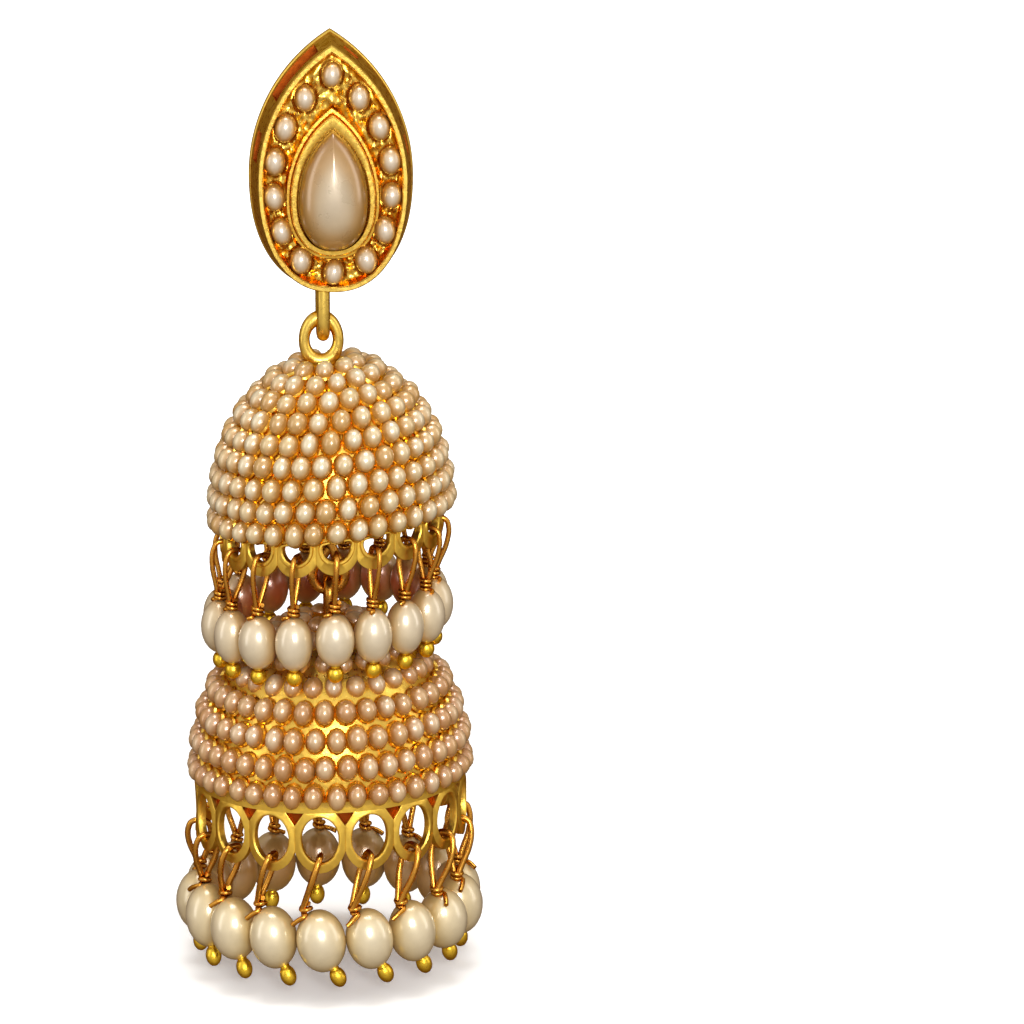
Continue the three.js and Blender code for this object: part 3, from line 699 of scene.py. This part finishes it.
def seed_places(bell):
    """A matrix for each seed pearl: X round the bell, Y up the dome, Z outwards."""
    place = bell_place(bell)
    places = []
    for row, angle in enumerate(row_angles(bell)):
        sunk = bell["sink"] if row >= bell["rows"] - bell["sunk_rows"] else 0.0
        radius, level = dome_point(bell, angle, -sunk)
        out = Vector((math.cos(angle) / bell["radius"], math.sin(angle) / bell["height"])).normalized()
        count = round(2 * math.pi * radius / bell["seed_pitch"])
        phase = 0.5 * (row % 2) + random.uniform(-0.1, 0.1)
        for i in range(count):
            turn = 2 * math.pi * (i + phase + random.uniform(-0.06, 0.06)) / count
            away = Vector((math.sin(turn), -math.cos(turn), 0))
            round_bell = Vector((math.cos(turn), math.sin(turn), 0))
            normal = away * out.x + Vector((0, 0, out.y))
            upward = normal.cross(round_bell)
            centre = away * radius + Vector((0, 0, level + random.uniform(-0.08, 0.08)))
            frame_of_seed = Matrix((round_bell, upward, normal)).transposed().to_4x4()
            frame_of_seed.translation = centre + dome_lean(bell, level)
            places.append(place @ frame_of_seed)
    return places


def seed_form(half):
    """One seed pearl, its back cut flat where the gold holds it."""
    seed = oval_pearl(half, 12, 8)
    make_active(seed)
    bpy.ops.object.mode_set(mode="EDIT")
    bpy.ops.mesh.select_all(action="SELECT")
    bpy.ops.mesh.bisect(
        plane_co=(0, 0, -0.45 * half[2]), plane_no=(0, 0, 1), use_fill=True, clear_inner=True
    )
    bpy.ops.object.mode_set(mode="OBJECT")
    return seed


def collet_form(half):
    """Gold edge pushed up round a seed pearl."""
    deselect_all()
    bpy.ops.mesh.primitive_torus_add(
        major_segments=12, minor_segments=5, major_radius=1.0, minor_radius=0.16
    )
    collet = bpy.context.object
    bpy.ops.object.mode_set(mode="EDIT")
    bpy.ops.mesh.select_all(action="SELECT")
    bpy.ops.transform.resize(value=(half[0] + 0.02, half[1] + 0.02, 1.4))
    bpy.ops.transform.translate(value=(0, 0, -0.3 * half[2]))
    bpy.ops.object.mode_set(mode="OBJECT")
    return collet


def field_of(form, places, sizes):
    """One joined mesh of a form at many places, and which place each vertex belongs to."""
    points = np.array([vertex.co for vertex in form.data.vertices])
    faces = [list(face.vertices) for face in form.data.polygons]
    all_points, all_faces, owner = [], [], []
    for index, (place, size) in enumerate(zip(places, sizes)):
        turn = np.array(place.to_3x3())
        start = index * len(points)
        all_points.append((points * size) @ turn.T + np.array(place.translation))
        all_faces += [[start + corner for corner in face] for face in faces]
        owner += [index] * len(points)
    mesh = bpy.data.meshes.new("field")
    mesh.from_pydata(np.concatenate(all_points).tolist(), [], all_faces)
    piece = bpy.data.objects.new("field", mesh)
    bpy.context.scene.collection.objects.link(piece)
    return piece, np.array(owner)


def make_seeds(bell, name, body, slot, tones, base):
    places = seed_places(bell)
    form = seed_form(bell["seed"])
    sizes = random.uniform(0.93, 1.05, (len(places), 3))
    piece, owner = field_of(form, places, sizes)
    # Painted shade and gold reflection: each seed runs from the foot colour where the gold holds it to its
    # own tone at the top.
    heights = np.array([vertex.co.z / bell["seed"][2] for vertex in form.data.vertices])
    share = np.clip((np.tile(heights, len(places)) - 0.4) / 0.55, 0, 1)[:, None]
    tops = np.array([linear(tones[i]) for i in random.integers(0, len(tones), len(places))])[owner]
    low = np.array(linear(base))
    set_nacre(piece, low * (1 - share) + tops * share)
    removed(form)
    smoothed(painted(piece, seed_nacre), 60)
    handed_over(piece, f"{name}_seed_pearls", body, slot)
    return places, sizes


def collet_field(bell, places, sizes):
    form = collet_form(bell["seed"])
    piece = field_of(form, places, sizes)[0]
    removed(form)
    return painted(piece, web_gold)


# Bells: domes and rims.
def dome_shell(bell):
    """Gold dome, closed over its thickness: outside, rim top, inside."""
    outer = math.acos(bell["crown_radius"] / (bell["radius"] - GOLD_BEHIND))
    ceiling = bell["crown"] - CROWN_THICKNESS
    inner = math.asin(ceiling / (bell["height"] - DOME_INNER))
    profile = [(0, bell["crown"]), (0.8 * bell["crown_radius"], bell["crown"] - 0.05)]
    profile += [dome_point(bell, outer * (1 - i / 18), -GOLD_BEHIND) for i in range(19)]
    profile += [(bell["rim"] + 0.1, -0.3), (bell["rim"] + 0.02, RIM_TOP), (bell["rim"] + 0.02, RIM_TOP - 0.2)]
    profile += [(bell["rim"] - RIM_WALL - 0.02, RIM_TOP - 0.2)]
    profile += [dome_point(bell, inner * i / 12, -DOME_INNER) for i in range(13)]
    profile += [(0, ceiling)]
    shell = painted(turned(profile, 96), web_gold, shaded_inside_gold)
    # Faces turned inwards, and the ceiling under the crown, take the red-brown painted shade.
    for face in shell.data.polygons:
        away = Vector((face.center.x, face.center.y, 0))
        if face.normal.dot(away) < 0 or face.center.z < ceiling + 0.05 and away.length < 4:
            face.material_index = 1
    for vertex in shell.data.vertices:
        vertex.co += dome_lean(bell, vertex.co.z)
    return shell


def polygon_hits(corners, centre, angles):
    """Points where rays from the centre, at angles from straight up, cross a closed outline."""
    points = []
    for angle in angles:
        ray = np.array([math.sin(angle), math.cos(angle)])
        best = None
        for (ax, az), (bx, bz) in zip(corners, corners[1:] + corners[:1]):
            matrix = np.array([[ray[0], ax - bx], [ray[1], az - bz]])
            if abs(np.linalg.det(matrix)) < 1e-9:
                continue
            reach, along = np.linalg.solve(matrix, [ax - centre[0], az - centre[1]])
            if reach > 0 and -1e-6 <= along <= 1 + 1e-6 and (best is None or reach < best):
                best = reach
        points.append((centre[0] + best * ray[0], centre[1] + best * ray[1]))
    return points


def scallop_arc(half, scallop, steps=12):
    """Lower edge of a scallop, from its right cusp round to its left one: part of an oval."""
    wide, tall, middle = scallop
    arc = []
    for i in range(steps + 1):
        across = half * math.cos(math.pi * i / steps)
        arc.append((across, middle - tall * math.sqrt(1 - (across / wide) ** 2)))
    return arc


def rim_unit(opening, edge, centre, raised, points=56):
    """One scallop of a rim, flat: across, depth and level. The opening's lip stands raised."""
    angles = [2 * math.pi * (i + 0.5) / points for i in range(points)]
    hole = np.array(polygon_hits(opening, centre, angles))
    rim = polygon_hits(edge, centre, angles)
    for corner in edge:
        near = min(range(points), key=lambda i: math.dist(rim[i], corner))
        if math.dist(rim[near], corner) < 0.25:
            rim[near] = corner
    rim = np.array(rim)

    def loop(out, share, depth):
        away = hole - np.array(centre)
        away = away / np.linalg.norm(away, axis=1)[:, None]
        flat = (hole + out * away) * (1 - share) + rim * share
        return [(x, depth, z) for x, z in flat]

    front = [
        loop(0, 1, -0.04), loop(0, 0.9, 0.0), loop(0.36, 0.1, 0.0), loop(0.3, 0, raised),
        loop(0.12, 0, raised), loop(0.02, 0, raised - 0.1),
    ]
    back = [
        loop(0, 0, -0.5 * RIM_WALL), loop(0.05, 0, -RIM_WALL), loop(0, 0.9, -RIM_WALL),
        loop(0, 1, 0.05 - RIM_WALL),
    ]
    loops = front + back
    return loft(loops + [loops[0]])


def round_the_rim(form, bell, offset):
    """Copies of a flat form, one to each scallop, bent round the bell."""
    copies = []
    for i in range(SCALLOPS):
        copy = placed_copy(form, Matrix.Identity(4))
        for vertex in copy.data.vertices:
            across, depth, level = vertex.co
            angle = across / bell["rim"] + PITCH * (i + offset) + math.radians(bell["turn"])
            radius = bell["rim"] + depth
            vertex.co = (radius * math.sin(angle), -radius * math.cos(angle), level)
        copies.append(copy)
    removed(form)
    return copies


def rim_round(unit, bell, seam):
    """Copies a flat scallop round the bell and merges the copies at their seams."""
    half = bell["rim"] * PITCH / 2
    delete_faces(unit, lambda centre, normal: abs(abs(centre.x) - half) < 0.02 and seam(centre.z))
    return painted(merged(joined("rim", round_the_rim(unit, bell, 0)), 2e-3), satin_gold)


def gore_back():
    """Recessed back of one small three-cornered opening of the lower rim: a dark sheet of painted shade."""
    half, top, foot = LOWER_GORE["half"] + 0.1, LOWER_GORE["top"] + 0.1, LOWER_GORE["foot"] - 0.3
    corners = [(-half, top), (half, top), (0.0, foot)]
    middle = (0.0, (2 * top + foot) / 3)
    front, back = 0.15 - RIM_WALL, 0.05 - RIM_WALL
    loops = [
        [(middle[0], front, middle[1])] * 3,
        [(x, front, z) for x, z in corners],
        [(x, back, z) for x, z in corners],
        [(middle[0], back, middle[1])] * 3,
    ]
    return loft(loops)


def upper_rim():
    half = UPPER["rim"] * PITCH / 2
    wide, head = UPPER_WINDOW["half"], UPPER_WINDOW["top"]
    corner = [(wide - 0.15, head), (wide, head - 0.15)]
    window = [(-x, z) for x, z in corner] + corner
    foot = head - 0.45
    for i in range(13):
        angle = math.pi * i / 12
        window.append((wide * math.cos(angle), foot + (UPPER_WINDOW["foot"] - foot) * math.sin(angle)))
    top = RIM_TOP + 0.25
    edge = [(-half, top), (half, top)] + scallop_arc(half, UPPER_SCALLOP)
    centre = (0.0, (head + UPPER_WINDOW["foot"]) / 2)
    unit = rim_unit(window, edge, centre, 0.12)
    return rim_round(unit, UPPER, lambda level: level < top)


def lower_rim():
    half = LOWER["rim"] * PITCH / 2
    middle = (LOWER_OPENING["top"] + LOWER_OPENING["foot"]) / 2
    tall = (LOWER_OPENING["top"] - LOWER_OPENING["foot"]) / 2
    oval = []
    for i in range(40):
        angle = 2 * math.pi * i / 40
        oval.append((LOWER_OPENING["half"] * math.sin(angle), middle + tall * math.cos(angle)))
    shoulder = half - LOWER_GORE["half"]
    head, foot = LOWER_GORE["top"], LOWER_GORE["foot"]
    edge = [(-shoulder, head + 0.05), (shoulder, head + 0.05), (half, foot)]
    edge += scallop_arc(half, LOWER_SCALLOP) + [(-half, foot)]
    unit = rim_unit(oval, edge, (0.0, middle), 0.05)
    band = rim_round(unit, LOWER, lambda level: level < foot + 0.02)
    outer, inner = LOWER["rim"], LOWER["rim"] - RIM_WALL
    top = RIM_TOP + 0.25
    profile = [(outer, head), (outer, top), (inner, top), (inner, head), (outer, head)]
    strip = painted(turned(profile, 102), satin_gold)
    backs = painted(joined("gores", round_the_rim(gore_back(), LOWER, 0.5)), slot_shade_gold)
    return joined("lower_rim", [band, strip, backs])


def crown_ring():
    """Thick oval ring standing on the crown, its hole set low."""
    tube = 0.25
    deselect_all()
    bpy.ops.mesh.primitive_torus_add(
        major_segments=40, minor_segments=16, major_radius=1.0, minor_radius=tube
    )
    ring = bpy.context.object
    hole_top = PIVOT_Z + STAPLE_RADIUS + RING_PLAY
    hole_z = hole_top - RING_HOLE[1]
    middle = UPPER["base"] + UPPER["crown"] - RING_SINK + RING_OUTER[1]
    for vertex in ring.data.vertices:
        x, y, z = vertex.co
        turn = math.atan2(y, x)
        across = (math.hypot(x, y) - 1) / tube
        outer = Vector((RING_OUTER[0] * math.cos(turn), middle + RING_OUTER[1] * math.sin(turn)))
        inner = Vector((RING_HOLE[0] * math.cos(turn), hole_z + RING_HOLE[1] * math.sin(turn)))
        spot = inner.lerp(outer, (1 + across) / 2)
        vertex.co = (DROP_X + spot.x, DROP_Y + RING_HALF_THICKNESS * z / tube, spot.y)
    return painted(merged(ring), polished_gold)


def link_hook():
    bend_z = LINK_Z + HOOK_BEND
    ceiling = UPPER["base"] + UPPER["crown"] - 0.3
    points = [(LINK_X, LINK_Y, ceiling), (LINK_X, LINK_Y, bend_z + 2.6 * HOOK_BEND)]
    for i in range(11):
        angle = 2 * math.pi * (0.12 + 0.076 * i)
        points.append((LINK_X + HOOK_BEND * math.sin(angle), LINK_Y, bend_z + HOOK_BEND * math.cos(angle)))
    points.append((LINK_X, LINK_Y, bend_z + 1.7 * HOOK_BEND))
    return painted(wire(points, LINK_WIRE), copper_gold)


def link_eye():
    top = LINK_Z + 2 * LINK_WIRE + LINK_PLAY
    foot = LOWER["base"] + LOWER["crown"] - 0.3
    points = [(LINK_X, LINK_Y + EYE_BEND, foot)]
    for i in range(9):
        angle = math.pi * i / 8
        points.append((LINK_X, LINK_Y + EYE_BEND * math.cos(angle), top - EYE_BEND * (1 - math.sin(angle))))
    points.append((LINK_X, LINK_Y - EYE_BEND, foot))
    return painted(wire(points, LINK_WIRE), copper_gold)


def make_bell(bell, name, body, slot, tones, base, rim, fittings):
    """Dome, rim, collets and fittings as one piece of gold, with its seed pearls as another."""
    places, sizes = make_seeds(bell, name, body, slot, tones, base)
    body_of_bell = joined("bell", [dome_shell(bell), rim()])
    body_of_bell.data.transform(bell_place(bell))
    piece = joined(name, [body_of_bell, collet_field(bell, places, sizes)] + fittings)
    smoothed(piece, 40)
    handed_over(piece, f"{name}_gold", body, slot, name)


# Drops.
def drop_loop(sizes):
    """Loop of wire from its bend at the origin down to the neck, in the YZ plane."""
    length, bulge = sizes["loop"], sizes["bulge"]
    half = [
        (0.62, 0.12), (0.9, 0.55), (bulge, 0.45 * length),
        (0.3 * bulge, length - 0.1), (0.2 * bulge, length + 0.3),
    ]
    left = [(0, -out, -along) for out, along in reversed(half)]
    right = [(0, out, -along) for out, along in half]
    return painted(wire(left + [(0, 0, 0)] + right, sizes["wire"], around=2, along=4), copper_gold)


def neck_wrap(sizes):
    """Wire wound round the neck, with its cut end standing out to one side."""
    top = sizes["pearl"][1] + sizes["collar"]
    foot = sizes["pearl"][1] - 0.05
    count = round(sizes["turns"] * 8)
    points = []
    for i in range(count + 1):
        angle = 2 * math.pi * i / 8
        level = top + (foot - top) * i / count
        points.append((NECK_RADIUS * math.cos(angle), NECK_RADIUS * math.sin(angle), level))
    end = Vector(points[-1])
    away = Vector((-1, -0.35, -0.28)).normalized() * sizes["tail"]
    points.append(tuple(end + 0.5 * away + Vector((0, -0.15, 0.05))))
    points.append(tuple(end + away))
    return painted(wire(points, 0.8 * sizes["wire"], around=2, along=3), copper_gold)


def drop_ball(sizes):
    """Gold ball on a short neck under the pearl."""
    wide, tall = sizes["ball"]
    top = -sizes["pearl"][1]
    middle = top - tall + 0.2
    profile = [(0, top + 0.3), (0.42, top + 0.3), (0.42, top - 0.02)]
    profile += [
        (wide * math.sin(math.pi * i / 12), middle + tall * math.cos(math.pi * i / 12)) for i in range(3, 12)
    ]
    return painted(turned(profile + [(0, middle - tall)], 20), grained_gold)


def drop_pearl(sizes, stops, honey):
    """Pearl about its centre, the bell's axis towards +Y: painted shade and gold reflection make it darker on
    the side towards the axis, paler outwards, and honey-coloured at its ends.
    """
    wide, tall = sizes["pearl"]
    pearl = painted(oval_pearl((wide, wide, tall), 32, 20), drop_nacre)
    points = np.array([vertex.co for vertex in pearl.data.vertices])
    # Painted shade and gold reflection, on the inner side and at both ends.
    colours = blend_colours(stops, 0.5 - 0.5 * points[:, 1] / wide)
    ends = np.clip((np.abs(points[:, 2]) / tall - 0.65) / 0.35, 0, 1)[:, None]
    return set_nacre(pearl, colours + 0.7 * ends * (np.array(linear(honey)) - colours))


def make_drops(stem, sizes, bell, lip, body, slot, stops, honey):
    """Ring of drops hanging plumb from the slanted rim, drawn a little to the left."""
    loop_form = drop_loop(sizes)
    pearl_form = drop_pearl(sizes, stops, honey)
    fitting_form = joined("fittings", [neck_wrap(sizes), drop_ball(sizes)])
    hang = bell["rim"] - RIM_WALL / 2
    reach = sizes["pearl"][1] + sizes["collar"]
    down = Vector((0, 0, -1))
    for i in range(SCALLOPS):
        angle = PITCH * i + math.radians(bell["turn"])
        front = (1 + math.cos(angle)) / 2
        side = math.sin(angle)
        lean = math.radians(sizes["lean"][1] + front * (sizes["lean"][0] - sizes["lean"][1]))
        slack = float(np.interp(side, [-1, 0, 1], [sizes["slack"][0], 0, sizes["slack"][1]]))
        length = sizes["loop"] + slack - sizes["back_lift"] * (1 - front)
        drift = Vector((-float(np.interp(side, [-1, 0, 1], sizes["drift"])), 0, 0))
        centre = Matrix.Rotation(-angle, 3, "Z") @ drift + (length + reach) * down
        neck = centre + reach * Vector((-math.sin(lean), 0, math.cos(lean)))
        aim = down.rotation_difference(neck).to_matrix().to_4x4()
        stretch = Matrix.Diagonal((1, 1, neck.length / sizes["loop"], 1))
        grown = random.uniform(0.96, 1.03) * (front + (1 - front) * sizes["back_size"])
        shape = Matrix.Diagonal((grown, grown, random.uniform(0.97, 1.02), 1))
        bend = Vector((hang * math.sin(angle), -hang * math.cos(angle), lip + LOOP_OVER_LIP))
        place = Matrix.Translation(bell_place(bell) @ bend) @ Matrix.Rotation(angle, 4, "Z")
        hung = place @ Matrix.Translation(centre)
        spin = Matrix.Rotation(random.uniform(-0.5, 0.5), 4, "Z")
        loop = placed_copy(loop_form, place @ aim @ stretch)
        pearl = placed_copy(pearl_form, hung @ Matrix.Rotation(-lean * sizes["follow"], 4, "Y") @ shape)
        fitting = placed_copy(fitting_form, hung @ Matrix.Rotation(-lean, 4, "Y") @ spin)
        node = f"{stem}_{i + 1:02d}"
        piece = smoothed(joined(node, [pearl, fitting, loop]), 60)
        handed_over(piece, f"{node}_pearl", body, slot, node)
    removed(loop_form, pearl_form, fitting_form)


# Floor, light and camera.
TENT_AXIS = (-0.06, -0.72, 0.69)
TENT_STRENGTH = 0.85
TENT_STOPS = [(0.0, "#6E543C"), (0.3, "#A89682"), (0.6, "#D6CCC0"), (1.0, "#FFFFFF")]
DARK_PATCH = (-0.05, -0.97, 0.22)
FLOOR_LEVEL = -0.0724
FLOOR_GLOW = {"From Min": 0.05, "From Max": 0.3, "To Min": 0.16, "To Max": 0.9}
# Lights: name, place in metres, size in metres, power in watts.
LIGHTS = [
    ("key_softbox", (0.03, -0.55, 0.14), (0.2, 0.16), 2.2),
    ("top_softbox", (0.0, -0.02, 0.55), (0.3, 0.3), 2.0),
    ("left_strip", (-0.5, -0.15, 0.1), (0.15, 0.5), 0.4),
    ("right_strip", (0.5, -0.1, 0.15), (0.15, 0.5), 0.4),
]
LIGHTS_AIM = (0, 0, -0.03)
CAMERA_PLACE = (-0.01832, -0.42180, 0.07633)
CAMERA_PITCH = 14.40
CAMERA_YAW = 4.598
FOCAL_PIXELS = 4991
IMAGE_PIXELS = 1024
SENSOR = 36.0


def make_floor():
    """White paper: matt, with a soft shadow under the drops. Painted light makes it glow, faintly near the
    middle and more strongly farther off, so that with the lamps it fades to white.
    """
    deselect_all()
    bpy.ops.mesh.primitive_plane_add(size=12, location=(0, 0, FLOOR_LEVEL))
    floor = bpy.context.object
    floor.name = "floor"
    paper = {"Roughness": 0.9, "Base Color": linear("#FAFAFA"), "Emission Color": linear("#FFFFFF")}
    material, tree, shader = new_material("white_paper", paper)
    place = add_node(tree, "ShaderNodeTexCoord")
    away = add_node(tree, "ShaderNodeVectorMath", {"operation": "LENGTH"}, {0: place.outputs["Object"]})
    # Painted light: the glow is weak under the earring and strong farther off.
    glow = add_node(
        tree, "ShaderNodeMapRange",
        {"interpolation_type": "SMOOTHSTEP"} | FLOOR_GLOW,
        {"Value": away.outputs["Value"]},
    )
    tree.links.new(glow.outputs["Result"], shader.inputs["Emission Strength"])
    floor.data.materials.append(material)
    floor.visible_diffuse = False
    floor.visible_glossy = False


def make_world():
    """Light tent: bright above and in front, dim behind, with a dark patch in front and a white sweep."""
    world = bpy.data.worlds.new("light_tent")
    bpy.context.scene.world = world
    world.use_nodes = True
    tree = world.node_tree
    tree.nodes.clear()
    place = add_node(tree, "ShaderNodeTexCoord")
    lit_side = add_node(
        tree, "ShaderNodeVectorMath", {"operation": "DOT_PRODUCT"}, {0: place.outputs["Generated"]}
    )
    lit_side.inputs[1].default_value = TENT_AXIS
    share = add_node(
        tree, "ShaderNodeMapRange", {"From Min": -0.7, "From Max": 1.0}, {"Value": lit_side.outputs["Value"]}
    )
    tent = add_node(tree, "ShaderNodeValToRGB", {"stops": TENT_STOPS}, {"Fac": share.outputs["Result"]})
    facing = add_node(
        tree, "ShaderNodeVectorMath", {"operation": "DOT_PRODUCT"}, {0: place.outputs["Generated"]}
    )
    facing.inputs[1].default_value = DARK_PATCH
    patch = add_node(
        tree, "ShaderNodeMapRange",
        {"From Min": 0.96, "From Max": 0.99, "To Min": TENT_STRENGTH, "To Max": 0.4 * TENT_STRENGTH},
        {"Value": facing.outputs["Value"]},
    )
    background = add_node(
        tree, "ShaderNodeBackground",
        links={"Color": tent.outputs["Color"], "Strength": patch.outputs["Result"]},
    )
    sweep = add_node(tree, "ShaderNodeBackground", {"Color": linear("#FFFFFF")})
    seen = add_node(tree, "ShaderNodeLightPath")
    surface = add_node(
        tree, "ShaderNodeMixShader", links={
            "Fac": seen.outputs["Is Camera Ray"],
            1: background.outputs["Background"], 2: sweep.outputs["Background"],
        },
    )
    add_node(tree, "ShaderNodeOutputWorld", links={"Surface": surface.outputs["Shader"]})


def area_light(name, location, size, power):
    lamp = bpy.data.lights.new(name, "AREA")
    lamp.shape = "RECTANGLE"
    lamp.size, lamp.size_y = size
    lamp.energy = power
    light = bpy.data.objects.new(name, lamp)
    light.location = location
    light.rotation_euler = (Vector(LIGHTS_AIM) - Vector(location)).to_track_quat("-Z", "Y").to_euler()
    bpy.context.scene.collection.objects.link(light)


def make_camera():
    data = bpy.data.cameras.new("camera")
    data.sensor_width = SENSOR
    data.lens = SENSOR * FOCAL_PIXELS / IMAGE_PIXELS
    data.clip_start = 0.01
    camera = bpy.data.objects.new("camera", data)
    turn = Matrix.Rotation(-math.radians(CAMERA_YAW), 4, "Z")
    tilt = Matrix.Rotation(math.radians(90 - CAMERA_PITCH), 4, "X")
    camera.matrix_world = Matrix.Translation(CAMERA_PLACE) @ turn @ tilt
    bpy.context.scene.collection.objects.link(camera)
    bpy.context.scene.camera = camera
    bpy.context.scene.view_settings.view_transform = "Standard"


make_camera()
make_world()
for light in LIGHTS:
    area_light(*light)
make_floor()
make_ear_top()
make_centre_pearl()
make_top_pearls()
make_bell(
    UPPER, "upper_bell", "upper_tier", "upper_bell_gold", UPPER_TONES, UPPER_SEED_FOOT_SHADE,
    upper_rim, [crown_ring(), link_hook()],
)
make_bell(
    LOWER, "lower_bell", "lower_tier", "lower_bell_gold", LOWER_TONES, LOWER_SEED_FOOT_SHADE,
    lower_rim, [link_eye()],
)
make_drops(
    "upper_drop", UPPER_DROP, UPPER, UPPER_WINDOW["foot"] + 0.05, "upper_tier", "upper_drop_pearl",
    UPPER_NACRE_SHADED, UPPER_PAINTED_ENDS,
)
make_drops(
    "lower_drop", LOWER_DROP, LOWER, LOWER_OPENING["foot"], "lower_tier", "lower_drop_pearl",
    LOWER_NACRE_SHADED, LOWER_PAINTED_ENDS,
)
